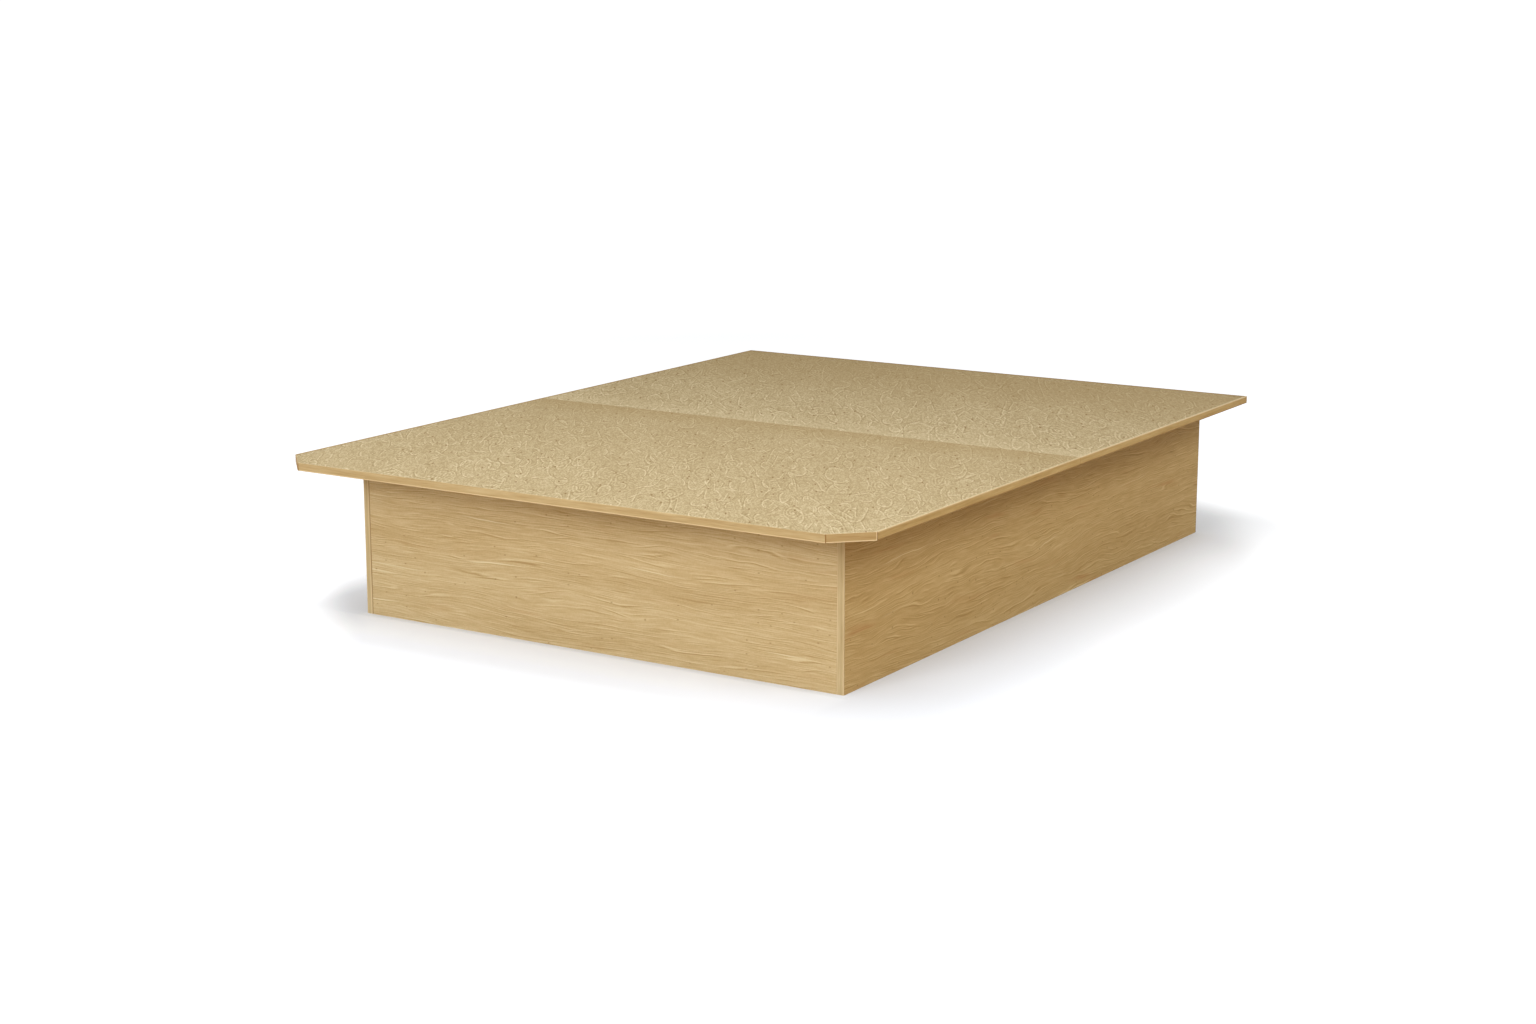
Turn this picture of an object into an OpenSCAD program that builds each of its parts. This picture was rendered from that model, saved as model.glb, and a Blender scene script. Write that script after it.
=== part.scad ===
// Low platform bed, flat-packed: an overhanging two-panel platform on a panel base.
// +X runs across the bed, +Y from the foot end to the head end, +Z up.
// The origin is on the floor, under the middle of the platform.

/* [Platform] */
// Width of the platform across the bed
top_w = 1555; // [1300:5:1900]
// Length of the platform, both panels together
top_l = 2032; // [1850:1:2150]
// Thickness of the two platform panels
top_t = 18; // [16:0.5:25]
// Leg of the two corners cut off at the foot end
corner_cut = 76; // [30:1:110]
// Open seam between the two platform panels
seam_gap = 0.8; // [0.4:0.1:2]

/* [Base] */
// Height of the base panels
base_h = 363; // [260:1:420]
// Thickness of the base panels
panel_t = 18; // [16:0.5:22]
// How far the platform runs past each side panel
side_overhang = 127; // [60:1:180]
// How far the platform runs past the foot panel
foot_overhang = 164; // [120:1:220]
// How far the platform runs past the head panel
head_overhang = 8; // [4:1:40]
// Side play in the slots where the two inner panels cross
slot_play = 0.25; // [0.1:0.05:0.5]

/* [Edge bands] */
// Thickness of the bands glued to the panel edges
band_t = 2; // [1:0.1:3]
// Radius of the outer arrises of a band
band_round = 0.7; // [0.3:0.1:0.9]

/* [Cam fittings] */
// Diameter of a cam bore
cam_bore_d = 15; // [12:0.5:16]
// Centre of a cam bore to the end of its panel
cam_setback = 34; // [24:1:40]
// How far a cam bore runs past the axis of its bolt
cam_past_axis = 4.5; // [4.4:0.1:5.5]
// First and last cam to the nearest end of the joint
cam_inset = 64; // [40:1:80]
// Diameter of the bore that a cam bolt's shank runs in
bolt_bore_d = 8; // [7.5:0.1:9]
// Diameter of a cam bolt's thread
bolt_thread_d = 5; // [4:0.1:6]
// Length of a cam bolt's thread
bolt_thread_l = 11; // [8:0.5:12]

/* [Dowels] */
// Diameter of a dowel
dowel_d = 8; // [6:0.5:10]
// Length of a dowel
dowel_l = 30; // [26:1:40]
// Depth that a dowel goes into a panel's face
dowel_face_l = 11; // [8:0.5:12]
// A dowel to the nearest cam
dowel_step = 32; // [24:1:48]
// Distance between the dowels in the platform's seam
seam_dowel_pitch = 290; // [150:5:310]

/* [Brackets] */
// Length of a bracket's legs
bracket_leg = 30; // [26:1:40]
// Width of a bracket
bracket_w = 20; // [16:1:30]
// Thickness of a bracket's steel
bracket_t = 2; // [1.5:0.1:3]
// Corner of a bracket to its screws
bracket_hole_at = 19; // [16:0.5:21]
// First and last bracket to the end of its panel
bracket_inset = 160; // [60:5:300]
// A side bracket to the seam of the platform
bracket_seam_inset = 120; // [60:5:300]
// Middle of an end panel to its brackets
bracket_x = 310; // [150:5:450]
// Step between the brackets on the cross panel's two faces
bracket_step = 60; // [40:5:120]

/* [Screws] */
// Diameter of a bracket screw
screw_d = 4; // [3:0.1:5]
// Length of a bracket screw under its head
screw_l = 15; // [12:0.5:16]
// Diameter of a screw's head
screw_head_d = 8; // [6.5:0.1:9]
// Height of a screw's head
screw_head_h = 2.6; // [2:0.1:3.5]

/* [Hidden] */
$fn = 48;
eps = 1;                // overrun of a cut past the face that it opens
bore_play = 0.06;       // radial play of a dowel, bolt thread or screw in its bore
cam_play = 0.12;        // radial play of a cam in its bore
cam_recess = 0.3;       // top of a cam below the face of its panel
bore_spare = 0.8;       // length of a bore past the end of what it holds
hole_play = 0.4;        // radial play of a screw in a bracket
head_play = 0.4;        // play of a cam bolt's head in its cam
shank_play = 1;         // radial play of a cam bolt's shank in its bore
bolt_shank_r = bolt_bore_d / 2 - shank_play;

laminate = [0.80, 0.68, 0.50];
chipboard = [0.79, 0.72, 0.56];
band_wood = [0.79, 0.66, 0.46];
zinc = [0.72, 0.73, 0.74];
steel = [0.62, 0.63, 0.65];
beech = [0.85, 0.73, 0.55];

// ---- Places worked out from the sizes above ----

half_w = top_w / 2;
half_l = top_l / 2;
base_x = half_w - side_overhang;            // outer face of the right side panel
inner_x = base_x - panel_t;                 // inner face of the right side panel
foot_y = -half_l + foot_overhang;           // outer face of the foot panel
head_y = half_l - head_overhang;            // outer face of the head panel
foot_inner_y = foot_y + panel_t;
head_inner_y = head_y - panel_t;
half_seam = seam_gap / 2;
mid_z = top_t / 2 + base_h;                 // middle of the platform's thickness
slot_w = panel_t + 2 * slot_play;
slot_z = base_h / 2;                        // where the two slots meet
cam_bore_l = panel_t / 2 + cam_past_axis;
core_cut = corner_cut - (2 - sqrt(2)) * band_t;   // leg of the cut corner behind its band

cam_zs = [cam_inset, base_h - cam_inset];
dowel_zs = [cam_inset + dowel_step, base_h - cam_inset - dowel_step];
seam_dowel_xs = [for (i = [-2:2]) i * seam_dowel_pitch];

// A joint spot is [x, y, turn, side]: local +X runs from the joint face into the panel
// that ends there, and side says which of its faces the cams are in.
corner_spots = [
    for (side = [-1, 1], end = [-1, 1])
        [side * inner_x, end < 0 ? foot_y + panel_t / 2 : head_y - panel_t / 2,
         side < 0 ? 0 : 180, side * end]
];
centre_spots = [
    for (end = [-1, 1]) [0, end < 0 ? foot_inner_y : head_inner_y, -90 * end, -end]
];
cross_spots = [for (side = [-1, 1]) [side * inner_x, 0, side < 0 ? 0 : 180, side]];

// A bracket spot is [x, y, turn]: local +X runs from the panel's face under the platform.
side_bracket_ys = [
    foot_inner_y + bracket_inset, -bracket_seam_inset,
    bracket_seam_inset, head_inner_y - bracket_inset
];
bracket_spots = concat(
    [for (y = side_bracket_ys) [-inner_x, y, 0]],
    [for (y = side_bracket_ys) [inner_x, y, 180]],
    [for (side = [-1, 1]) [side * bracket_x, foot_inner_y, 90]],
    [for (side = [-1, 1]) [side * bracket_x, head_inner_y, -90]],
    [for (side = [-1, 1]) [side * bracket_x, -panel_t / 2, -90]],
    [for (side = [-1, 1]) [side * (bracket_x + bracket_step), panel_t / 2, 90]]
);

// Outline of the foot-end platform panel seen from above, outside and inside its bands.
function foot_outline(inset, cut) = [
    [-half_w + inset, -half_seam],
    [-half_w + inset, -half_l + inset + cut],
    [-half_w + inset + cut, -half_l + inset],
    [half_w - inset - cut, -half_l + inset],
    [half_w - inset, -half_l + inset + cut],
    [half_w - inset, -half_seam]
];
foot_outer = foot_outline(0, corner_cut);
foot_inner = foot_outline(band_t, core_cut);

// Outline of the head-end panel: its head band covers the ends of its side bands.
head_outer = [[-half_w, half_seam], [-half_w, half_l - band_t],
              [half_w, half_l - band_t], [half_w, half_seam]];
head_inner = [for (p = head_outer) [p.x - sign(p.x) * band_t, p.y]];

// ---- Placing ----

module at_joint(spot, z) {
    translate([spot.x, spot.y, z])
        rotate(spot[2])
            mirror([0, spot[3] < 0 ? 1 : 0, 0])
                children();
}

module at_joints(spots, zs) {
    for (spot = spots, z = zs) at_joint(spot, z) children();
}

module at_brackets() {
    for (spot = bracket_spots)
        translate([spot.x, spot.y, base_h]) rotate(spot[2]) children();
}

module box(low, high) {
    translate(low) cube(high - low);
}

// ---- Bores ----

module along_x(d, from, to) {
    translate([from, 0, 0]) rotate([0, 90, 0]) cylinder(d = d, h = to - from);
}

// Bores in the face that a panel's end stands against.
module face_bores(spots) {
    at_joints(spots, cam_zs)
        along_x(bolt_thread_d + 2 * bore_play, -bolt_thread_l - bore_spare, eps);
    at_joints(spots, dowel_zs)
        along_x(dowel_d + 2 * bore_play, -dowel_face_l - bore_spare, eps);
}

// Bores in the end of a panel, and the cam bores in its face.
module end_bores(spots) {
    at_joints(spots, cam_zs) {
        along_x(bolt_bore_d, -eps, cam_setback);
        translate([cam_setback, -cam_past_axis, 0])
            rotate([-90, 0, 0]) cylinder(d = cam_bore_d, h = cam_bore_l + eps);
    }
    at_joints(spots, dowel_zs)
        along_x(dowel_d + 2 * bore_play, -eps, dowel_l - dowel_face_l + bore_spare);
}

module bracket_bores_base() {
    at_brackets()
        translate([0, 0, -bracket_hole_at])
            along_x(screw_d + 2 * bore_play, bracket_t - screw_l - bore_spare, eps);
}

module bracket_bores_platform() {
    at_brackets()
        translate([bracket_hole_at, 0, -eps])
            cylinder(d = screw_d + 2 * bore_play, h = screw_l - bracket_t + bore_spare + eps);
}

module seam_bores() {
    depth = dowel_l / 2 + bore_spare;
    for (x = seam_dowel_xs)
        translate([x, -depth, mid_z])
            rotate([-90, 0, 0]) cylinder(d = dowel_d + 2 * bore_play, h = 2 * depth);
}

// ---- Base panels ----

module side_panel(side) {
    color(laminate) difference() {
        box([side < 0 ? -base_x : inner_x, foot_y + band_t, 0],
            [side < 0 ? -inner_x : base_x, head_y - band_t, base_h]);
        face_bores([for (s = concat(corner_spots, cross_spots)) if (s.x * side > 0) s]);
        bracket_bores_base();
    }
}

module foot_panel() {
    color(laminate) difference() {
        box([-inner_x, foot_y, 0], [inner_x, foot_inner_y, base_h]);
        end_bores([for (s = corner_spots) if (s.y < 0) s]);
        face_bores([centre_spots[0]]);
        bracket_bores_base();
    }
}

module head_panel() {
    color(laminate) difference() {
        box([-inner_x, head_inner_y, 0], [inner_x, head_y, base_h]);
        end_bores([for (s = corner_spots) if (s.y > 0) s]);
        face_bores([centre_spots[1]]);
        bracket_bores_base();
    }
}

// The centre panel is slotted from above and the cross panel from below.
module centre_panel() {
    color(laminate) difference() {
        box([-panel_t / 2, foot_inner_y, 0], [panel_t / 2, head_inner_y, base_h]);
        box([-panel_t, -slot_w / 2, slot_z], [panel_t, slot_w / 2, base_h + eps]);
        end_bores(centre_spots);
    }
}

module cross_panel() {
    color(laminate) difference() {
        box([-inner_x, -panel_t / 2, 0], [inner_x, panel_t / 2, base_h]);
        box([-slot_w / 2, -panel_t, -eps], [slot_w / 2, panel_t, slot_z]);
        end_bores(cross_spots);
        bracket_bores_base();
    }
}

// ---- Platform ----

module platform_foot() {
    color(chipboard) difference() {
        translate([0, 0, base_h]) linear_extrude(top_t) polygon(foot_inner);
        seam_bores();
        bracket_bores_platform();
    }
}

module platform_head() {
    color(chipboard) difference() {
        translate([0, 0, base_h]) linear_extrude(top_t) polygon(head_inner);
        seam_bores();
        bracket_bores_platform();
    }
}

// ---- Edge bands ----

// Section of a band: glued face on the Y axis, outer arrises rounded.
module band_section(width) {
    square([band_t - band_round, width]);
    translate([0, band_round]) square([band_t, width - 2 * band_round]);
    for (y = [band_round, width - band_round])
        translate([band_t - band_round, y]) circle(r = band_round, $fn = 32);
}

// Band along the platform's edge from outer point a to b, with its ends cut
// to the inner points c and d.
module platform_band(a, b, c, d) {
    run = b - a;
    turn = atan2(run.y, run.x);
    color(band_wood) intersection() {
        translate([0, 0, base_h]) linear_extrude(top_t) polygon([a, b, d, c]);
        translate([a.x, a.y, base_h])
            rotate(turn)
                translate([-eps, band_t, 0])
                    rotate([90, 0, 90])
                        mirror([1, 0, 0])
                            linear_extrude(norm(run) + 2 * eps) band_section(top_t);
    }
}

module foot_band(i) {
    platform_band(foot_outer[i], foot_outer[i + 1], foot_inner[i], foot_inner[i + 1]);
}

module head_side_band(i) {
    platform_band(head_outer[i + 1], head_outer[i], head_inner[i + 1], head_inner[i]);
}

module platform_band_head() {
    platform_band([half_w, half_l], [-half_w, half_l],
                  [half_w, half_l - band_t], [-half_w, half_l - band_t]);
}

// Band on the end of a side panel.
module end_band(side, end) {
    color(band_wood)
        translate([side * (base_x - panel_t / 2), end < 0 ? foot_y + band_t : head_y - band_t, 0])
            rotate(end < 0 ? -90 : 90)
                translate([0, -panel_t / 2, 0])
                    linear_extrude(base_h) band_section(panel_t);
}

// ---- Cam fittings ----

// Cam disc on the bolt's axis: hollow for the bolt's head, open towards the joint,
// with a cross recess in its face.
module cam() {
    height = cam_bore_l - cam_recess;
    recess_l = 0.53 * cam_bore_d;
    recess_w = 0.11 * cam_bore_d;
    recess_h = 0.2 * cam_bore_d;
    difference() {
        translate([cam_setback, -cam_past_axis, 0])
            rotate([-90, 0, 0]) cylinder(d = cam_bore_d - 2 * cam_play, h = height);
        translate([cam_setback, -bolt_shank_r - head_play, 0])
            rotate([-90, 0, 0])
                cylinder(r = bolt_shank_r + 2 * head_play, h = 2 * (bolt_shank_r + head_play));
        along_x(2 * (bolt_shank_r + head_play), cam_setback - cam_bore_d, cam_setback);
        for (turn = [0, 90])
            translate([cam_setback, height - cam_past_axis - recess_h, 0])
                rotate([-90, turn, 0])
                    translate([-recess_l / 2, -recess_w / 2, 0])
                        cube([recess_l, recess_w, recess_h + eps]);
    }
}

// Cam bolt along +X: thread in one panel, collar, shank, neck and head in the cam.
module cam_bolt() {
    thread_r = bolt_thread_d / 2;
    collar_r = bolt_bore_d / 2 - bore_play;
    neck_r = 0.6 * bolt_shank_r;
    collar_l = 0.2 * bolt_bore_d;
    neck_l = 0.5 * bolt_bore_d;
    head_l = 0.4 * bolt_bore_d;
    tip = 0.3 * bolt_thread_d;
    head_from = cam_setback - head_l / 2;
    rotate([0, 90, 0]) rotate_extrude()
        polygon([
            [0, -bolt_thread_l], [thread_r - tip / 2, -bolt_thread_l],
            [thread_r, tip - bolt_thread_l], [thread_r, 0],
            [collar_r, 0], [collar_r, collar_l], [bolt_shank_r, collar_l],
            [bolt_shank_r, head_from - neck_l], [neck_r, head_from - neck_l],
            [neck_r, head_from], [bolt_shank_r, head_from],
            [bolt_shank_r, head_from + head_l], [0, head_from + head_l]
        ]);
}

module cams(spots) {
    color(zinc) at_joints(spots, cam_zs) cam();
}

module cam_bolts(spots) {
    color(steel) at_joints(spots, cam_zs) cam_bolt();
}

// ---- Dowels ----

// Dowel along +Z from the origin, with chamfered ends.
module dowel() {
    r = dowel_d / 2;
    bevel = dowel_d / 8;
    rotate_extrude()
        polygon([
            [0, 0], [r - bevel, 0], [r, bevel], [r, dowel_l - bevel],
            [r - bevel, dowel_l], [0, dowel_l]
        ]);
}

module dowels(spots) {
    color(beech) at_joints(spots, dowel_zs)
        translate([-dowel_face_l, 0, 0]) rotate([0, 90, 0]) dowel();
}

module seam_dowels() {
    color(beech) for (x = seam_dowel_xs)
        translate([x, -dowel_l / 2, mid_z]) rotate([-90, 0, 0]) dowel();
}

// ---- Brackets and screws ----

// Bent steel angle: one leg down the panel, one leg under the platform.
module bracket() {
    bend = 2 * bracket_t;
    hole_d = screw_d + 2 * hole_play;
    difference() {
        translate([0, bracket_w / 2, 0]) rotate([90, 0, 0]) linear_extrude(bracket_w) {
            translate([0, -bracket_leg]) square([bracket_t, bracket_leg - bend]);
            translate([bend, -bracket_t]) square([bracket_leg - bend, bracket_t]);
            intersection() {
                translate([0, -bend]) square(bend);
                translate([bend, -bend]) difference() {
                    circle(r = bend);
                    circle(r = bend - bracket_t);
                }
            }
        }
        translate([0, 0, -bracket_hole_at]) along_x(hole_d, -eps, bracket_t + eps);
        translate([bracket_hole_at, 0, -bracket_t - eps])
            cylinder(d = hole_d, h = bracket_t + 2 * eps);
    }
}

// Pan-head screw along +Z, its head below the origin.
module screw() {
    r = screw_d / 2;
    r_head = screw_head_d / 2;
    tip = 0.75 * screw_d;
    rim = screw_head_h / 2;
    recess_l = 0.55 * screw_head_d;
    recess_w = 0.12 * screw_head_d;
    recess_h = 0.6 * screw_head_h;
    difference() {
        rotate_extrude()
            polygon([
                [0, -screw_head_h], [0.7 * r_head, -screw_head_h], [r_head, -rim],
                [r_head, 0], [r, 0], [r, screw_l - tip], [0, screw_l]
            ]);
        for (turn = [0, 90]) rotate(turn)
            translate([-recess_l / 2, -recess_w / 2, -screw_head_h - eps])
                cube([recess_l, recess_w, recess_h + eps]);
    }
}

module platform_brackets() {
    color(steel) at_brackets() bracket();
}

module bracket_screws_base() {
    color(steel) at_brackets()
        translate([bracket_t, 0, -bracket_hole_at]) rotate([0, -90, 0]) screw();
}

module bracket_screws_platform() {
    color(steel) at_brackets()
        translate([bracket_hole_at, 0, -bracket_t]) screw();
}

// ---- Nodes ----

side_panel(-1);  // side_panel_left
side_panel(1);  // side_panel_right
foot_panel();
head_panel();
centre_panel();
cross_panel();
platform_foot();
platform_head();
foot_band(0);  // platform_band_foot_left
foot_band(1);  // platform_band_cut_left
foot_band(2);  // platform_band_foot
foot_band(3);  // platform_band_cut_right
foot_band(4);  // platform_band_foot_right
head_side_band(0);  // platform_band_head_left
head_side_band(2);  // platform_band_head_right
platform_band_head();
end_band(-1, -1);  // end_band_left_foot
end_band(1, -1);  // end_band_right_foot
end_band(-1, 1);  // end_band_left_head
end_band(1, 1);  // end_band_right_head
cams(corner_spots);  // corner_cams
cam_bolts(corner_spots);  // corner_cam_bolts
dowels(corner_spots);  // corner_dowels
cams(centre_spots);  // centre_cams
cam_bolts(centre_spots);  // centre_cam_bolts
dowels(centre_spots);  // centre_dowels
cams(cross_spots);  // cross_cams
cam_bolts(cross_spots);  // cross_cam_bolts
dowels(cross_spots);  // cross_dowels
seam_dowels();
platform_brackets();
bracket_screws_base();
bracket_screws_platform();
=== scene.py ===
"""Looks of a low platform bed: wood-grain panels, raw chipboard platform, edge bands and fittings.

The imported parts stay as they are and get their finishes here. Lengths are in metres.
"""

import math

import bpy
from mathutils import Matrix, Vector


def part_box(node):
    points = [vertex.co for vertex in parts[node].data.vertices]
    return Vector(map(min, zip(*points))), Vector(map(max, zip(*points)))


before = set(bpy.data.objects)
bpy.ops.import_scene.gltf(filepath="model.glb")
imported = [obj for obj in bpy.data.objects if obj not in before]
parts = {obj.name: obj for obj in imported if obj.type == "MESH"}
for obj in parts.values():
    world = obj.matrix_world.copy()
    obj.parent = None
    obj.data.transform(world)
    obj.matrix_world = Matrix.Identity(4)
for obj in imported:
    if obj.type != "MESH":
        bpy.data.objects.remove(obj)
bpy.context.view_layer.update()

MM = 0.001
X, Y, Z = (1, 0, 0), (0, 1, 0), (0, 0, 1)
DIAGONAL = math.sqrt(0.5)
WHITE = (1, 1, 1, 1)

# ---- Camera ----

CAMERA_AT = (3.218, -5.207, 1.472)
CAMERA_TURN = 32.31     # degrees from straight on, towards the bed's right side
CAMERA_DROP = 12.07     # degrees below the horizon
CAMERA_LENS = 59.05     # mm, on a sensor 36 mm wide
CAMERA_REACH = 500      # beyond the floor's far edge


def make_camera():
    data = bpy.data.cameras.new("camera")
    data.sensor_width = 36
    data.lens = CAMERA_LENS
    data.clip_end = CAMERA_REACH
    camera = bpy.data.objects.new("camera", data)
    camera.location = CAMERA_AT
    camera.rotation_euler = (math.radians(90 - CAMERA_DROP), 0, math.radians(CAMERA_TURN))
    bpy.context.scene.collection.objects.link(camera)
    bpy.context.scene.camera = camera


make_camera()

# ---- Node graphs ----


def srgb(red, green, blue):
    """A colour given in display values from 0 to 255, as the linear colour of a shader."""
    linear = []
    for value in (red, green, blue):
        share = value / 255
        linear.append(share / 12.92 if share <= 0.04045 else ((share + 0.055) / 1.055) ** 2.4)
    return (*linear, 1)


class Graph:
    """The nodes of a material or world. Each call adds a node and returns its output socket."""

    def __init__(self, tree):
        self.tree = tree

    def node(self, kind, inputs=None, **settings):
        node = self.tree.nodes.new(kind)
        for name, value in settings.items():
            setattr(node, name, value)
        for key, value in (inputs or {}).items():
            self.feed(node.inputs[key], value)
        return node

    def feed(self, socket, value):
        if isinstance(value, bpy.types.NodeSocket):
            self.tree.links.new(value, socket)
        else:
            socket.default_value = value

    def math(self, operation, *values):
        return self.node("ShaderNodeMath", dict(enumerate(values)), operation=operation).outputs[0]

    def total(self, first, *others):
        for other in others:
            first = self.math("ADD", first, other)
        return first

    def scaled(self, value, factor):
        return self.math("MULTIPLY", value, factor)

    def vector_math(self, operation, *values):
        return self.node("ShaderNodeVectorMath", dict(enumerate(values)), operation=operation).outputs

    def dot(self, vector, direction):
        return self.vector_math("DOT_PRODUCT", vector, direction)["Value"]

    def length(self, vector):
        return self.vector_math("LENGTH", vector)["Value"]

    def moved(self, vector, step):
        return self.vector_math("ADD", vector, step)["Vector"]

    def tinted(self, colour, tint):
        return self.vector_math("MULTIPLY", colour, tint)["Vector"]

    def joined(self, x, y, z):
        return self.node("ShaderNodeCombineXYZ", {0: x, 1: y, 2: z}).outputs["Vector"]

    def noise(self, vector, scale=1.0, detail=1.0):
        """Smooth noise around zero, from about -0.5 to 0.5."""
        inputs = {"Vector": vector, "Scale": scale, "Detail": detail}
        return self.math("SUBTRACT", self.node("ShaderNodeTexNoise", inputs).outputs["Fac"], 0.5)

    def cells(self, vector, scale):
        """Distance in the XY plane to the nearest of scattered points, its random colour and place."""
        node = self.node("ShaderNodeTexVoronoi", {"Vector": vector, "Scale": scale},
                         voronoi_dimensions="2D")
        return node.outputs["Distance"], node.outputs["Color"], node.outputs["Position"]

    def between(self, value, low, high, at_low=0.0, at_high=1.0):
        """Goes smoothly from at_low to at_high as value goes from low to high."""
        inputs = {"Value": value, "From Min": low, "From Max": high,
                  "To Min": at_low, "To Max": at_high}
        return self.node("ShaderNodeMapRange", inputs, interpolation_type="SMOOTHSTEP").outputs["Result"]

    def mixed(self, share, first, second):
        inputs = {0: share, 6: first, 7: second}
        return self.node("ShaderNodeMix", inputs, data_type="RGBA").outputs[2]

    def steps(self, value, places, colours):
        """The colour that value reaches on its way through colours, each at its own place."""
        node = self.node("ShaderNodeValToRGB", {"Fac": value})
        elements = node.color_ramp.elements
        while len(elements) < len(colours):
            elements.new(0.5)
        for element, place, colour in zip(elements, places, colours):
            element.position = place
            element.color = colour
        return node.outputs["Color"]

    def seen_directly(self):
        """1 for what the camera sees straight, in a mirror or through glass."""
        rays = self.node("ShaderNodeLightPath").outputs
        mirrored = self.math("MAXIMUM", rays["Is Glossy Ray"], rays["Is Transmission Ray"])
        return self.math("MAXIMUM", rays["Is Camera Ray"], mirrored)


class Finish(Graph):
    """The graph of one part's material, in the shared frame's coordinates."""

    def __init__(self, name):
        self.material = bpy.data.materials.new(name)
        self.material.use_nodes = True
        super().__init__(self.material.node_tree)
        self.surface = self.tree.nodes["Principled BSDF"]
        self.place = self.node("ShaderNodeTexCoord").outputs["Object"]

    def on(self, axis):
        """The place along an axis."""
        return self.dot(self.place, axis)

    def done(self, colour, roughness, height=None, depth=0.0, specular=0.5):
        self.feed(self.surface.inputs["Base Color"], colour)
        self.feed(self.surface.inputs["Roughness"], roughness)
        self.surface.inputs["Specular IOR Level"].default_value = specular
        if height is not None:
            bump = self.node("ShaderNodeBump", {"Height": height, "Distance": depth, "Strength": 1.0})
            self.feed(self.surface.inputs["Normal"], bump.outputs["Normal"])
        return self.material


def rim(g, place, edge, width, share, full=0.6):
    """share next to an edge, over a part full of the width, and fading to 0 at the width."""
    off = g.math("ABSOLUTE", g.math("SUBTRACT", place, edge))
    return g.between(off, full * width, width, share, 0.0)


def dots(g, place, scale, radius, picked):
    """1 on dots at some of the scattered points, fading at radius; picked is the chance it takes."""
    distance, chance, _ = g.cells(place, scale)
    inside = g.between(distance, *radius, 1.0, 0.0)
    return g.math("MULTIPLY", inside, g.between(g.dot(chance, X), *picked))


# ---- Wood grain of the base panels ----

GRAIN_DARK = srgb(178, 146, 97)
GRAIN_MIDDLE = srgb(200, 171, 124)
GRAIN_LIGHT = srgb(217, 192, 147)
GRAIN_PALE = srgb(231, 212, 171)
GRAIN_BROWN = srgb(152, 116, 70)
GRAIN_RED = srgb(186, 140, 94)
TONE_PLACES = 0.05, 0.5, 0.95       # tones at which the dark, middle and light colours lie
WOOD_ROUGHNESS = 0.6
WOOD_SHEEN = 0.12
GRAIN_DEPTH = 0.07 * MM

# Streaks along the grain: step of the seed, repeats per metre along it and across it, detail
SLOW_WAVE = 11.3, 1.3, 5.5, 2
QUICK_WAVE = 23.7, 6, 17, 2
SMALL_WAVE = 31.3, 19, 44, 1
BROAD_STREAKS = 3.1, 1.2, 13, 1
MIDDLE_STREAKS = 5.9, 4.2, 70, 2
FINE_STREAKS = 7.7, 20, 330, 1
RED_STREAKS = 41.0, 4.2, 34, 1
PALE_STREAKS = 13.0, 2.4, 120, 1
DARK_STREAKS = 17.0, 5.0, 170, 1

# Growth lines: step of the seed, lines per metre across the grain, width as a share of their pitch
STRONG_LINES = 61.0, 74, 0.15
FAINT_LINES = 71.0, 175, 0.30
STRAY = 3.6                         # how far growth lines stray, in pitches
STRAY_LONG, STRAY_WIDE = 3.4, 0.30  # repeats of that, per metre along and per line across
PATCH_LONG, PATCH_WIDE = 7.5, 0.55  # and of the patches in which the lines come and go
PATCH_STEP = 6.0                    # step of their seed

# What adds up to the grain: how many metres each wave pushes it, and the shares of its tone
GRAIN_WAVES = (SLOW_WAVE, 0.115), (QUICK_WAVE, 0.020), (SMALL_WAVE, 0.0052)
GRAIN_STREAKS = (BROAD_STREAKS, 0.55), (MIDDLE_STREAKS, 0.38), (FINE_STREAKS, 0.78)
GRAIN_LINES = (STRONG_LINES, 0.56), (FAINT_LINES, 0.42)
MOTTLE, MOTTLE_SHARE = 300, 0.34    # repeats per metre of the fine mottle
PORES_LONG, PORES_WIDE = 34, 60     # places for pores, per metre along and across
PORE_SHARE = 0.6


def streaks(g, u, v, seed, kind):
    """Noise drawn out along the grain, where u runs along it and v across."""
    step, long, fine, detail = kind
    return g.noise(g.joined(g.scaled(u, long), g.scaled(v, fine), seed + step), detail=detail)


def layers(g, u, v, seed, kinds, factor=1.0):
    """Several kinds of streaks, each times its own share and the factor."""
    return [g.scaled(streaks(g, u, v, seed, kind), share * factor) for kind, share in kinds]


def wavy(g, u, v, seed, wave):
    """The place across the grain, pushed to and fro so that the grain flows and closes in arcs."""
    return g.total(v, *layers(g, u, v, seed, GRAIN_WAVES, wave))


def combed(g, phase, width):
    """A dark and a pale line side by side at each whole number that phase goes through."""
    nearest = g.math("SUBTRACT", phase, g.math("ROUND", phase))
    wave = g.math("SINE", g.scaled(nearest, math.pi / width))
    near = g.between(g.math("ABSOLUTE", nearest), 0.6 * width, 1.2 * width, 1.0, 0.0)
    return g.math("MULTIPLY", wave, near)


def growth_lines(g, u, flow, seed, kind):
    """Lines along the grain, unevenly spaced, that come and go in patches."""
    step, pitches, width = kind
    stray = streaks(g, u, flow, seed, (step, STRAY_LONG, STRAY_WIDE * pitches, 1))
    patches = streaks(g, u, flow, seed, (step + PATCH_STEP, PATCH_LONG, PATCH_WIDE * pitches, 1))
    lines = combed(g, g.total(g.scaled(flow, pitches), g.scaled(stray, STRAY)), width)
    return g.math("MULTIPLY", lines, g.between(patches, -0.12, 0.18))


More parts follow.
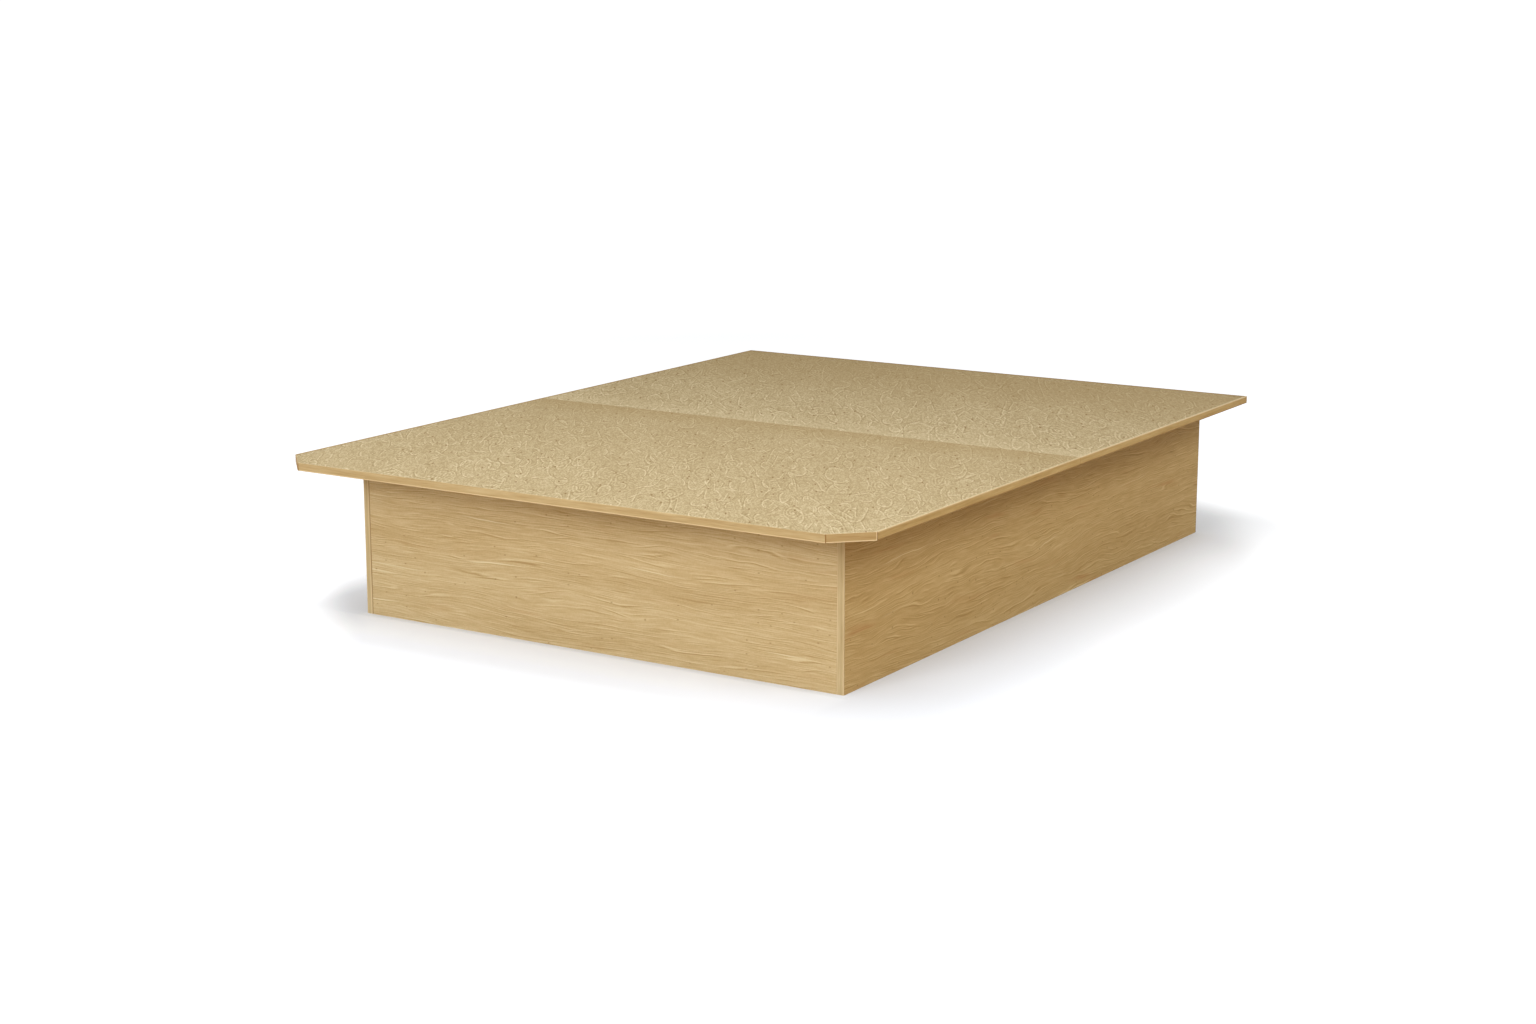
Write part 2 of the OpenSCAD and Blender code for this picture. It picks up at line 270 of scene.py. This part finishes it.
def pores(g, u, v, seed):
    """Small dots, scattered."""
    place = g.joined(g.total(g.scaled(u, PORES_LONG), seed), g.scaled(v, PORES_WIDE), 0.0)
    return dots(g, place, 1.0, radius=(0.05, 0.13), picked=(0.90, 0.93))


def grain_tone(g, u, flow, seed):
    """How light the wood is, around 0.5."""
    mottle = g.scaled(g.noise(g.place, MOTTLE), MOTTLE_SHARE)
    lines = [g.scaled(growth_lines(g, u, flow, seed, kind), share) for kind, share in GRAIN_LINES]
    return g.total(0.5, *layers(g, u, flow, seed, GRAIN_STREAKS), mottle, *lines)


def wood_grain(name, along, across, seed, tint, wave, redness):
    """Smooth wood-grain laminate. wave says how much the grain bends, redness how red its streaks are."""
    g = Finish(name)
    u = g.on(along)
    flow = wavy(g, u, g.on(across), seed, wave)
    tone = grain_tone(g, u, flow, seed)
    colour = g.steps(tone, TONE_PLACES, (GRAIN_DARK, GRAIN_MIDDLE, GRAIN_LIGHT))
    for kind, start, full, share, over in ((RED_STREAKS, 0.12, 0.30, redness, GRAIN_RED),
                                           (PALE_STREAKS, 0.20, 0.30, 0.85, GRAIN_PALE),
                                           (DARK_STREAKS, 0.24, 0.36, 0.70, GRAIN_BROWN)):
        streak = g.between(streaks(g, u, flow, seed, kind), start, full, 0.0, share)
        colour = g.mixed(streak, colour, over)
    colour = g.mixed(g.scaled(pores(g, u, flow, seed), PORE_SHARE), colour, GRAIN_BROWN)
    return g.done(g.tinted(colour, tint), WOOD_ROUGHNESS, tone, GRAIN_DEPTH, WOOD_SHEEN)


# ---- Raw chipboard of the platform ----

CHIP_DARK = srgb(149, 130, 91)
CHIP_MIDDLE = srgb(178, 160, 124)
CHIP_LIGHT = srgb(206, 192, 158)
CHIP_FLECK = srgb(130, 103, 62)
# painted shade on the boards towards their head sides and at the seam, also the colour of the ragged dark
# line
CHIP_PAINTED_SHADE_AND_LINE = srgb(158, 134, 90)
CHIP_BROWN = srgb(128, 98, 56)
# colour of the painted highlights along the boards' edges and of the painted light past the seam
CHIP_PAINTED_HIGHLIGHT = srgb(222, 208, 174)
CHIP_ROUGHNESS = 0.85
CHIP_SHEEN = 0.05
CHIP_DEPTH = 0.08 * MM
CHIP_TURN = math.radians(32)    # slant of the pressed chips from the bed's length
GRIT = 2.3 * MM                 # size of the finest speckle
GRIT_SHARE = 0.44               # its share of the tone
CLOUDS = 7                      # repeats per metre of the broad clouds
CLOUD_SHARE = 0.25
FLECKS = 46                     # places for dark flecks, per metre
FLECK_SHARE = 0.8
STROKE_W = 2.6 * MM             # width of a curled stroke
STROKE_FADE = 0.2 * STROKE_W, 0.7 * STROKE_W    # how far from its middle it fades
STROKE_SHARE = 0.27
STROKE_HEIGHT = 0.6             # how high the strokes stand, next to the speckle
SHADE_FADE = 0.2 * STROKE_W, 0.6 * STROKE_W     # the same of the dark line beside a stroke, its painted shadow
SHADE_SHARE = 0.8               # how strong that line is, next to the stroke
RING_STEP = 7 * MM              # from ring to ring where strokes lie inside one another
BROAD_BENDS = 9, 30 * MM        # repeats per metre and reach of what bends the strokes
SMALL_BENDS = 30, 9 * MM
PAINTED_FALL_START = 0.80               # how far from its head side each board starts to darken, a painted shade
SEAM_LINE = 16 * MM             # width of the dark line along each board's head side
SEAM_LINE_SHARE = 0.55
SEAM_RAGS = 30, 6 * MM          # repeats per metre and reach of what makes that line ragged
SEAM_FADE = 0.17                # how far the painted shade before the seam and the painted light past it reach

# The boards: size of the chips and curls, how much longer than wide they are, and how much painted
# shade darkens a board towards its head side and close to it
BOARDS = {
    "foot": {"seed": 0.0, "size": 1.08, "stretch": 3.5, "painted_fall": 0.20, "near": 0.30},
    "head": {"seed": 3.0, "size": 1.22, "stretch": 3.8, "painted_fall": 0.52, "near": 0.0}}

# Painted highlights along the boards' edges, painted light past the seam, and brown lines on the far
# sides: width and share
PAINTED_HIGHLIGHT_RIGHT = 5 * MM, 0.3
PAINTED_HIGHLIGHT_CUT = 7 * MM, 0.2
PAINTED_HIGHLIGHT_FOOT = 8 * MM, 0.12
PAINTED_LIGHT_SEAM = SEAM_FADE, 0.16
BROWN_LEFT = 8 * MM, 0.55
BROWN_HEAD = 14 * MM, 0.60


def chip_place(g, seed, size, stretch):
    """Coordinates in which the drawn-out chips and curls are round."""
    across = g.on((math.cos(CHIP_TURN), math.sin(CHIP_TURN), 0))
    along = g.on((-math.sin(CHIP_TURN), math.cos(CHIP_TURN), 0))
    return g.joined(g.total(g.scaled(across, 1 / size), seed), g.scaled(along, 1 / (size * stretch)), seed)


def bent(g, place, scale, reach):
    """The place pushed about by noise, so that what is drawn there is crooked."""
    first = g.noise(place, scale)
    second = g.noise(g.moved(place, (3.7, 1.9, 0.6)), scale)
    return g.moved(place, g.joined(g.scaled(first, reach), g.scaled(second, reach), 0.0))


def stroke(g, off):
    """A pale line where off is zero, partly a painted highlight, with a dark line beside it as its painted
    shadow.
    """
    beside = g.math("SUBTRACT", off, STROKE_W)
    pale = g.between(g.math("ABSOLUTE", off), *STROKE_FADE, 1.0, 0.0)
    dark = g.between(g.math("ABSOLUTE", beside), *SHADE_FADE, SHADE_SHARE, 0.0)
    return g.math("SUBTRACT", pale, dark)


def arcs(g, place, pitch, least, most):
    """Strokes part of the way round scattered points, at a radius from least to most pitches."""
    distance, chance, _ = g.cells(place, 1 / pitch)
    radius = g.between(g.dot(chance, Y), 0.0, 1.0, least, most)
    line = stroke(g, g.scaled(g.math("SUBTRACT", distance, radius), pitch))
    return g.math("MULTIPLY", line, g.between(g.noise(place, 1.2 / pitch), -0.02, 0.05))


def rings(g, place, pitch):
    """Strokes inside one another, round a few of the scattered points."""
    distance, chance, _ = g.cells(place, 1 / pitch)
    wave = g.math("COSINE", g.scaled(distance, math.tau * pitch / RING_STEP))
    picked = g.between(g.dot(chance, X), 0.74, 0.78, 0.0, -1.0)
    return g.math("MULTIPLY", wave, g.math("MULTIPLY", picked, g.between(distance, 0.2, 0.5, 1.0, 0.0)))


def sticks(g, place, pitch):
    """A straight stroke through each of some scattered points, in a direction of its own."""
    _, chance, centre = g.cells(place, 1 / pitch)
    away = g.vector_math("SUBTRACT", place, centre)["Vector"]
    angle = g.scaled(g.dot(chance, Y), math.pi)
    turned = g.node("ShaderNodeVectorRotate", {"Vector": away, "Angle": angle},
                    rotation_type="Z_AXIS").outputs["Vector"]
    inside = g.between(g.math("ABSOLUTE", g.dot(turned, X)), 0.18 * pitch, 0.30 * pitch, 1.0, 0.0)
    picked = g.between(g.dot(chance, X), 0.40, 0.45)
    return g.math("MULTIPLY", stroke(g, g.dot(turned, Y)), g.math("MULTIPLY", inside, picked))


def bends(g, place, scale, levels):
    """Long strokes: pieces of the contour lines of a noise, of even width."""
    level, aside, ahead = (g.scaled(g.noise(g.moved(place, step), scale), levels)
                           for step in ((0, 0, 0), (STROKE_W, 0, 0), (0, STROKE_W, 0)))
    slope = g.length(g.joined(g.math("SUBTRACT", aside, level), g.math("SUBTRACT", ahead, level), 0.0))
    off = g.math("DIVIDE", g.math("SUBTRACT", level, g.math("ROUND", level)),
                 g.math("MAXIMUM", slope, 0.02))
    cut = g.math("MULTIPLY", g.between(slope, 0.06, 0.12),
                 g.between(g.noise(g.moved(place, (5.1, 2.3, 0)), 2.4 * scale), 0.0, 0.05))
    return g.math("MULTIPLY", stroke(g, g.scaled(off, STROKE_W)), cut)


def curls(g, place):
    """The curled strokes of pressed fibres, pale above zero and dark below, with the painted shadows
    beside the strokes.
    """
    crooked = bent(g, bent(g, place, *BROAD_BENDS), *SMALL_BENDS)
    curl = g.total(arcs(g, crooked, 36 * MM, 0.20, 0.55),
                   arcs(g, g.moved(crooked, (2.3, 7.1, 0)), 60 * MM, 0.15, 0.50),
                   sticks(g, crooked, 42 * MM),
                   sticks(g, g.moved(crooked, (5.9, 3.3, 0)), 56 * MM),
                   g.scaled(rings(g, crooked, 60 * MM), 0.6),
                   bends(g, place, 10, 9))
    return g.math("MINIMUM", g.math("MAXIMUM", curl, -0.9), 1.0)


def grit(g, place):
    """A random tone from -0.5 to 0.5 for each of the finest chips."""
    _, chance, _ = g.cells(place, 1 / GRIT)
    return g.math("SUBTRACT", g.dot(chance, X), 0.5)


def cut_corner_reach(low, high):
    """How far the right cut corner lies along the diagonal between right and foot."""
    band_low, band_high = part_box("platform_band_cut_right")
    return DIAGONAL * (high.x - low.y) - DIAGONAL * (band_high.y - band_low.y)


def board_rims(g, colour, low, high, is_foot):
    """Painted highlights as pale lines on the right and at the foot, painted light past the seam, and
    brown lines on the far sides.
    """
    x, y = g.on(X), g.on(Y)
    pale = rim(g, x, high.x, *PAINTED_HIGHLIGHT_RIGHT)
    brown = rim(g, x, low.x, *BROWN_LEFT)
    if is_foot:
        corner = g.on((DIAGONAL, -DIAGONAL, 0))
        pale = g.math("MAXIMUM", pale, rim(g, corner, cut_corner_reach(low, high), *PAINTED_HIGHLIGHT_CUT))
        pale = g.math("MAXIMUM", pale, rim(g, y, low.y, *PAINTED_HIGHLIGHT_FOOT))
    else:
        pale = g.math("MAXIMUM", pale, rim(g, y, low.y, *PAINTED_LIGHT_SEAM, full=0.0))
        brown = g.math("MAXIMUM", brown, rim(g, y, high.y, *BROWN_HEAD))
    return g.mixed(brown, g.mixed(pale, colour, CHIP_PAINTED_HIGHLIGHT), CHIP_BROWN)


def painted_shade_and_dark_line(g, head_side, painted_fall, near):
    """How much painted shade darkens a board towards its head side and close to it, with a ragged dark
    line along it.
    """
    y = g.on(Y)
    rags, rag_reach = SEAM_RAGS
    ragged = g.total(y, g.scaled(g.noise(g.place, rags, detail=2), rag_reach))
    # painted shade: a fall towards the head side and a fade close to it
    broad = g.total(g.between(y, head_side - PAINTED_FALL_START, head_side, 0.0, painted_fall),
                    rim(g, y, head_side, SEAM_FADE, near, full=0.0))
    line = g.between(ragged, head_side - SEAM_LINE, head_side - 0.4 * SEAM_LINE, 0.0, SEAM_LINE_SHARE)
    return g.math("MAXIMUM", broad, line)


def chipboard(end, seed, size, stretch, painted_fall, near):
    """Pressed chips with curled strokes, painted shade and painted highlights, for the board at one end of
    the bed.
    """
    g = Finish("chipboard_" + end)
    low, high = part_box("platform_" + end)
    place = chip_place(g, seed, size, stretch)
    strokes = curls(g, place)
    clouds = g.noise(place, CLOUDS, detail=2)
    speckle = g.total(g.scaled(grit(g, place), GRIT_SHARE), g.scaled(clouds, CLOUD_SHARE))
    tone = g.total(0.5, speckle, g.scaled(strokes, STROKE_SHARE))
    colour = g.steps(tone, TONE_PLACES, (CHIP_DARK, CHIP_MIDDLE, CHIP_LIGHT))
    flecks = dots(g, place, FLECKS, radius=(0.06, 0.13), picked=(0.78, 0.82))
    colour = g.mixed(g.scaled(flecks, FLECK_SHARE), colour, CHIP_FLECK)
    # painted shade towards the board's head side
    colour = g.mixed(painted_shade_and_dark_line(g, high.y, painted_fall, near), colour, CHIP_PAINTED_SHADE_AND_LINE)
    # painted highlights along the board's edges, painted light past the seam, brown lines on the far sides
    colour = board_rims(g, colour, low, high, end == "foot")
    height = g.total(g.scaled(strokes, STROKE_HEIGHT), speckle)
    return g.done(colour, CHIP_ROUGHNESS, height, CHIP_DEPTH, CHIP_SHEEN)


# ---- Edge bands ----

BAND_TONES = srgb(158, 124, 76), srgb(182, 151, 104), srgb(200, 172, 126)
UPRIGHT_TONES = srgb(178, 150, 104), srgb(199, 173, 128), srgb(216, 192, 150)
BAND_TONE_PLACES = 0.15, 0.5, 0.85
# colour of the painted highlights on the bands' rounded edges, ends and lines
BAND_PAINTED_HIGHLIGHT = srgb(226, 206, 166)
# colour of the dark joints at a band's start, and of painted shade along edges and grooves
BAND_JOINT_AND_PAINTED_SHADE = srgb(134, 98, 54)
BAND_BROAD_STREAKS = 0.0, 5, 60, 2
BAND_FINE_STREAKS = 4.4, 22, 420, 2
BAND_STREAKS = (BAND_BROAD_STREAKS, 0.8), (BAND_FINE_STREAKS, 0.6)
BAND_DEPTH = 0.1 * MM
# width of the paint along a band's edge, painted highlight where pale and painted shade where dark
ARRIS_W = 3 * MM
LINE_W = 1.6 * MM               # width of a line along the middle of a band, painted highlight where pale and painted shade where dark
JOINT_W = 4 * MM                # width of the dark start of a band
END_HIGHLIGHT_W = 2.6 * MM           # width of its painted highlight at the end


def edge_band(part, along, across, seed, tones, tint, low_arris=None, high_arris=None,
              joint=0.8, painted_end_highlight=0.0, line=None):
    """Wood band with its grain along the edge; an arris is (colour, share), a painted highlight where pale
    and painted shade where dark.

    joint and painted_end_highlight say how dark its start and how pale its end is; the pale end is a
    painted highlight. line is another line along
    it: (place between the low and the high edge, colour, share), a painted highlight where pale and
    painted shade where dark.
    """
    g = Finish("band_" + part)
    u, v = g.on(along), g.on(across)
    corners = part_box(part)
    bottom, top = (corner.dot(Vector(across)) for corner in corners)
    start, end = sorted(corner.dot(Vector(along)) for corner in corners)
    tone = g.total(0.5, *layers(g, u, v, seed, BAND_STREAKS))
    colour = g.tinted(g.steps(tone, BAND_TONE_PLACES, tones), tint)
    # painted highlights and painted shade along the low and high edges
    for edge, arris in ((bottom, low_arris), (top, high_arris)):
        if arris:
            arris_colour, share = arris
            colour = g.mixed(rim(g, v, edge, ARRIS_W, share), colour, arris_colour)
    # painted highlight at the band's end
    if painted_end_highlight:
        colour = g.mixed(rim(g, u, end, END_HIGHLIGHT_W, painted_end_highlight), colour, BAND_PAINTED_HIGHLIGHT)
    if joint:
        colour = g.mixed(rim(g, u, start, JOINT_W, joint), colour, BAND_JOINT_AND_PAINTED_SHADE)
    # a painted highlight line where pale, a painted shade line where dark
    if line:
        place, line_colour, share = line
        colour = g.mixed(rim(g, v, bottom + place * (top - bottom), LINE_W, share), colour, line_colour)
    return g.done(colour, WOOD_ROUGHNESS, tone, BAND_DEPTH, WOOD_SHEEN)


# ---- Fittings ----

METAL_CLOUDS = 260              # repeats per metre
METAL_DEPTH = 0.05 * MM
BEECH_MOTTLE = 300              # repeats per metre
BEECH_DEPTH = 0.1 * MM


def metal(name, colour, roughness):
    """Plated metal with faint clouds."""
    g = Finish(name)
    g.surface.inputs["Metallic"].default_value = 1.0
    cloud = g.noise(g.place, METAL_CLOUDS, detail=2)
    dull = [0.8 * channel for channel in colour[:3]] + [1]
    clouded = g.mixed(g.between(cloud, -0.4, 0.4), colour, dull)
    return g.done(clouded, g.total(roughness, g.scaled(cloud, 0.2)), cloud, METAL_DEPTH)


def plain_wood(name, dark, light):
    """Turned wood, faintly mottled."""
    g = Finish(name)
    tone = g.noise(g.place, BEECH_MOTTLE, detail=2)
    return g.done(g.mixed(g.between(tone, -0.3, 0.3), dark, light), WOOD_ROUGHNESS, tone, BEECH_DEPTH)


# ---- Finishes on the parts ----

# The laminate and the band colour are tinted face by face: the side panels' darker, warmer tint and the
# cut bands' darker tint are painted shade, and the side bands' lighter tint is painted light.
END_TINT = (0.97, 1.08, 1.19)
SIDE_PAINTED_SHADE_TINT = (1.02, 1.04, 0.93)      # painted shade: the side panels a little darker and warmer than the ends
BAND_END_TINT = (0.97, 1.09, 1.22)
BAND_SIDE_PAINTED_LIGHT_TINT = (1.18, 1.25, 1.16)
BAND_CUT_PAINTED_SHADE_TINT = (0.88, 0.91, 0.90)


def give(part, material):
    mesh = parts[part].data
    mesh.materials.clear()
    mesh.materials.append(material)


def dress_base():
    looks = {
        "foot_panel": X, "head_panel": X, "cross_panel": X,
        "side_panel_right": Y, "side_panel_left": Y, "centre_panel": Y}
    for number, (part, along) in enumerate(looks.items()):
        tint, wave, redness = (END_TINT, 0.55, 0.25) if along == X else (SIDE_PAINTED_SHADE_TINT, 1.0, 0.6)
        give(part, wood_grain("laminate_" + part, along, Z, 10.0 * number + 2.0, tint, wave, redness))


def dress_platform():
    for end, look in BOARDS.items():
        give("platform_" + end, chipboard(end, **look))


def dress_platform_bands():
    # shares of the painted highlights on the arrises
    bright, medium, soft = ((BAND_PAINTED_HIGHLIGHT, share) for share in (0.8, 0.55, 0.3))
    # painted shade along the lower edge of the right bands
    painted_low_shade = (BAND_JOINT_AND_PAINTED_SHADE, 0.6)
    ends = {"along": X, "tint": BAND_END_TINT}
    sides = {"along": Y, "tint": BAND_SIDE_PAINTED_LIGHT_TINT}
    # the cut bands: a darker tint as painted shade, and a painted highlight at the end
    cuts = {"tint": BAND_CUT_PAINTED_SHADE_TINT, "painted_end_highlight": 0.8}
    rising, falling = (DIAGONAL, DIAGONAL, 0), (DIAGONAL, -DIAGONAL, 0)
    looks = {
        "foot": {**ends, "low_arris": medium},
        "head": {**ends, "low_arris": soft, "high_arris": soft},
        "foot_left": {**sides, "low_arris": soft, "high_arris": soft},
        "foot_right": {**sides, "low_arris": painted_low_shade, "high_arris": medium},
        "head_left": {**sides, "low_arris": soft, "high_arris": soft, "joint": 0.0},
        "head_right": {**sides, "low_arris": painted_low_shade, "high_arris": bright, "joint": 0.0},
        "cut_left": {**cuts, "along": falling, "low_arris": soft},
        "cut_right": {**cuts, "along": rising, "low_arris": bright}}
    for number, (name, look) in enumerate(looks.items()):
        part = "platform_band_" + name
        give(part, edge_band(part, across=Z, seed=7.0 * number, tones=BAND_TONES, **look))


def dress_upright_bands():
    # painted highlights on the outer arrises, painted shade in the groove by the panel
    outer, inner = (BAND_PAINTED_HIGHLIGHT, 0.35), (BAND_JOINT_AND_PAINTED_SHADE, 0.7)
    # the left look has a pale painted highlight line, the right look a faint line of painted shade
    left = {"low_arris": outer, "high_arris": inner, "line": (0.72, BAND_PAINTED_HIGHLIGHT, 0.5)}
    right = {"low_arris": (BAND_PAINTED_HIGHLIGHT, 0.4), "high_arris": outer, "line": (0.6, BAND_JOINT_AND_PAINTED_SHADE, 0.15)}
    looks = {"left_foot": left, "right_foot": right, "left_head": right, "right_head": left}
    for number, (name, look) in enumerate(looks.items()):
        part = "end_band_" + name
        give(part, edge_band(part, along=Z, across=X, seed=5.0 * number + 3, tones=UPRIGHT_TONES,
                             tint=END_TINT, joint=0.0, **look))


def dress_fittings():
    zinc = metal("cam_zinc", srgb(176, 178, 181), 0.45)
    steel = metal("fitting_steel", srgb(190, 190, 188), 0.35)
    beech = plain_wood("dowel_beech", srgb(190, 158, 112), srgb(214, 184, 138))
    for group in ("corner", "centre", "cross"):
        give(group + "_cams", zinc)
        give(group + "_cam_bolts", steel)
        give(group + "_dowels", beech)
    give("seam_dowels", beech)
    for part in ("platform_brackets", "bracket_screws_base", "bracket_screws_platform"):
        give(part, steel)


dress_base()
dress_platform()
dress_platform_bands()
dress_upright_bands()
dress_fittings()

# ---- Floor ----

FLOOR_REACH = 200
FLOOR_ROUGHNESS = 0.9
FLOOR_COLOUR = srgb(215, 220, 228)
BOUNCE_COLOUR = srgb(160, 125, 76)      # what the floor sends back up at the bed
GLOW = 0.20                     # the floor's own white next to the base, kept low there as a painted shadow
GLOW_REACH = 0.18, 0.75         # how far from the base it starts and stops rising, all round
LIT_WHITE = 0.55                # the most it comes to where the lamps light the floor too
UNLIT_WHITE = 0.92              # and behind them
UNLIT_REACH = 3.0, 4.2          # where it goes from the one to the other
LEFT_RISE = 0.16, 2.2           # how far out it starts to rise to the left, and how fast
RIGHT_RISE = 0.5                # how fast it rises to the right at the head; half way, not at all
SIDE_LIFT = 0.10                # how much whiter it is along the middle of the right side
SIDE_EDGE = 0.03                # how far out it has got that much whiter
FRONT_LIFT = 0.07               # how much whiter it is close to the foot
CONTACT = 0.22                  # how far the painted contact shadow close to the base reaches
OPEN_FRONT = 0.03               # how far it reaches in front of the foot
OPEN_CORNER = 0.1               # how far past the right corner it has its full reach again

# Stretches: start and full, counted from the low end, and fade and end, counted from the high end
SIDE_STRETCH = 0.25, 0.95, -0.4, 0.15
FRONT_STRETCH = -0.03, 0.15, -0.35, -0.15
FRONT_DEPTH = 0.0, 0.01, 0.1, 0.2

# The two ends of the real and painted shadow: direction past the base's corner, from where to where
# the white rises in it, and by how much
FAR_END = (0.845, 0.535, 0), 0.03, 0.19, 0.18
NEAR_END = (-DIAGONAL, -DIAGONAL, 0), 0.02, 0.14, 0.30


def past(g, axis, edge, side):
    """How far a place on the floor lies past an edge, on the side 1 or -1; 0 before the edge."""
    off = g.scaled(g.math("SUBTRACT", g.on(axis), edge), side)
    return g.math("MAXIMUM", off, 0.0)


def along_stretch(g, place, low, high, stretch):
    """1 along a stretch between low and high, and smoothly down to 0 at its ends."""
    start, full, fade, end = stretch
    return g.math("MULTIPLY", g.between(place, low + start, low + full),
                  g.between(place, high + fade, high + end, 1.0, 0.0))


def end_rise(g, corner, end):
    """What the white gains past one of the two corners where the shadow ends."""
    direction, start, full, rise = end
    off = g.math("SUBTRACT", g.on(direction), corner.dot(Vector(direction)))
    return g.between(off, start, full, 0.0, rise)


def floor_glow_with_painted_shadow(g, low, high):
    """The floor's own white: low next to the base, as a painted shadow beside the lamps' real one, and
    full far away.
    """
    left, right = past(g, X, low.x, -1), past(g, X, high.x, 1)
    front, head = past(g, Y, low.y, -1), past(g, Y, high.y, 1)
    distance = g.length(g.joined(g.total(left, right), g.total(front, head), 0.0))
    left_start, left_rate = LEFT_RISE
    right_rate = g.between(g.on(Y), 0.0, high.y, 0.0, RIGHT_RISE)
    side_lift = g.math("MULTIPLY", g.between(right, 0.0, SIDE_EDGE, 0.0, SIDE_LIFT),
                       along_stretch(g, g.on(Y), low.y, high.y, SIDE_STRETCH))
    front_lift = g.math("MULTIPLY", along_stretch(g, front, 0.0, 0.0, FRONT_DEPTH),
                        along_stretch(g, g.on(X), low.x, high.x, FRONT_STRETCH))
    # painted shadow: low glow near the base, raised by the rises and lifts that shape it
    glow = g.total(g.between(distance, *GLOW_REACH, GLOW, 1.0),
                   g.scaled(past(g, X, low.x - left_start, -1), left_rate),
                   g.math("MULTIPLY", right, right_rate),
                   side_lift, g.scaled(front_lift, FRONT_LIFT),
                   end_rise(g, high, FAR_END), end_rise(g, low, NEAR_END))
    glow = g.math("MINIMUM", glow, g.between(distance, *UNLIT_REACH, LIT_WHITE, UNLIT_WHITE))
    # painted contact shadow: the glow darkened by ambient occlusion close to the base, except in front
    painted_contact_shadow = g.node("ShaderNodeAmbientOcclusion", {"Distance": CONTACT}, samples=8).outputs["AO"]
    open_front = g.math("MULTIPLY", g.between(front, 0.0, OPEN_FRONT),
                        g.between(right, 0.0, OPEN_CORNER, 1.0, 0.0))
    return g.math("MULTIPLY", glow, g.math("MAXIMUM", painted_contact_shadow, open_front))


def floor_finish():
    g = Finish("floor")
    seen = g.seen_directly()
    glow = floor_glow_with_painted_shadow(g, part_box("side_panel_left")[0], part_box("side_panel_right")[1])
    g.feed(g.surface.inputs["Emission Color"], WHITE)
    g.feed(g.surface.inputs["Emission Strength"], g.math("MULTIPLY", seen, glow))
    return g.done(g.mixed(seen, BOUNCE_COLOUR, FLOOR_COLOUR), FLOOR_ROUGHNESS, specular=0.0)


def make_floor():
    mesh = bpy.data.meshes.new("floor")
    corners = [(x * FLOOR_REACH, y * FLOOR_REACH, 0) for x, y in ((-1, -1), (1, -1), (1, 1), (-1, 1))]
    mesh.from_pydata(corners, [], [(0, 1, 2, 3)])
    mesh.materials.append(floor_finish())
    floor = bpy.data.objects.new("floor", mesh)
    bpy.context.scene.collection.objects.link(floor)


# ---- Light ----

WORLD_LEVEL = 0.25              # light that the world gives
WORLD_TINT = (1.0, 0.91, 0.75, 1)       # its colour, which fills the shades


def make_world():
    """White where it is seen, and a soft warm light for all else."""
    world = bpy.data.worlds.new("world")
    bpy.context.scene.world = world
    world.use_nodes = True
    g = Graph(world.node_tree)
    seen = g.seen_directly()
    background = g.tree.nodes["Background"]
    g.feed(background.inputs["Color"], g.mixed(seen, WORLD_TINT, WHITE))
    g.feed(background.inputs["Strength"], g.math("MULTIPLY_ADD", seen, 1 - WORLD_LEVEL, WORLD_LEVEL))


def make_lamp(name, place, target, size, power):
    """A rectangular lamp, in watts, that faces the target."""
    data = bpy.data.lights.new(name, "AREA")
    data.shape = "RECTANGLE"
    data.size, data.size_y = size
    data.energy = power
    lamp = bpy.data.objects.new(name, data)
    lamp.location = place
    lamp.rotation_euler = (Vector(target) - Vector(place)).to_track_quat("-Z", "Y").to_euler()
    bpy.context.scene.collection.objects.link(lamp)


make_floor()
make_world()
make_lamp("lamp_foot", (0.35, -5.2, 2.8), (0, -0.3, 0.2), (3.0, 2.0), 94)
make_lamp("lamp_foot_low", (0.35, -5.6, 1.4), (0, -0.3, 0.2), (3.0, 2.0), 112)
make_lamp("lamp_over", (0, -1.6, 2.9), (0, -1.2, 0), (3.6, 2.4), 52)
make_lamp("lamp_right", (5.0, -0.4, 2.4), (0, -0.3, 0.2), (3.0, 4.0), 57)
make_lamp("lamp_right_high", (4.2, -0.5, 3.6), (0, -0.3, 0.2), (3.0, 2.0), 66)
make_lamp("lamp_left", (-5.0, 1.5, 2.4), (0, 0.4, 0.2), (3.0, 2.0), 43)
make_lamp("lamp_head", (0, 5.2, 2.6), (0, 0.3, 0.2), (3.0, 2.0), 48)

bpy.context.scene.view_settings.view_transform = "Standard"
